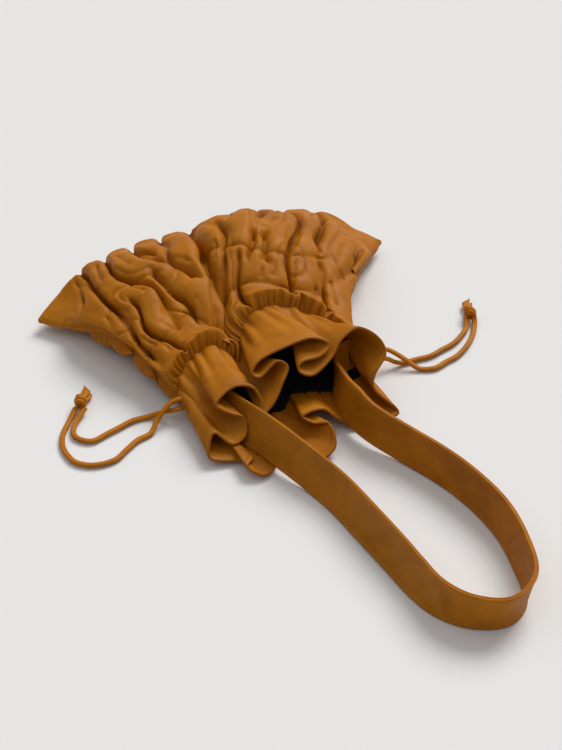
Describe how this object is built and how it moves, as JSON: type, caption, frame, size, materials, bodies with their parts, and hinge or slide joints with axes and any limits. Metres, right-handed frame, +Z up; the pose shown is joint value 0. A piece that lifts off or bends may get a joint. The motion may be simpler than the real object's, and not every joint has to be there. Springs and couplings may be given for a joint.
{
  "type": "ruched leather bucket bag",
  "caption": "Gathered soft leather bucket bag lying on its back, with a frilled collar, a drawstring at each side of the neck and a shoulder strap.",
  "frame": {"origin": "on the underside of the back panel, between the neck and the base seam, on the surface the bag lies on", "axes": "+Z up from the surface, +Y towards the base seam, +X across the bag from the left ear to the right ear"},
  "size_m": [0.4749, 0.6142, 0.084],
  "materials": {
    "leather": "soft, creased",
    "collar_leather": "soft, smooth",
    "strap_leather": "satin, smooth",
    "cord_leather": "satin, rolled",
    "lining": "woven, matte",
    "elastic": "woven, matte",
    "thread": "twisted thread"
  },
  "bodies": {
    "bag": {"front_panel": "leather", "back_panel": "leather", "left_seam_strip": "leather", "right_seam_strip": "leather", "base_seam_strip": "leather", "front_lining": "lining", "back_lining": "lining", "front_elastics": "elastic", "back_elastics": "elastic", "front_collar": "collar_leather", "back_collar": "collar_leather", "front_facing": "collar_leather", "back_facing": "collar_leather", "front_casing": "lining", "back_casing": "lining", "hem_stitching": "thread", "left_drawstring_run": "cord_leather", "right_drawstring_run": "cord_leather", "left_strap_end": "strap_leather", "right_strap_end": "strap_leather", "strap_end_stitching": "thread"},
    "strap": {"strap_outer": "strap_leather", "strap_lining": "strap_leather", "strap_stitching": "thread"},
    "left_drawstring": {"left_strand_front": "cord_leather", "left_strand_back": "cord_leather", "left_knot": "cord_leather"},
    "right_drawstring": {"right_strand_front": "cord_leather", "right_strand_back": "cord_leather", "right_knot": "cord_leather"}
  },
  "joints": [
    {"name": "strap_swing", "type": "hinge", "parent": "bag", "child": "strap", "pos_m": [0, -0.23, 0.02], "axis": [-1, 0, 0], "range_deg": [0, 90]},
    {"name": "left_drawstring_pull", "type": "slide", "parent": "bag", "child": "left_drawstring", "axis": [-1, 0, 0], "range_m": [0, 0.03]},
    {"name": "right_drawstring_pull", "type": "slide", "parent": "bag", "child": "right_drawstring", "axis": [1, 0, 0], "range_m": [0, 0.03]}
  ]
}
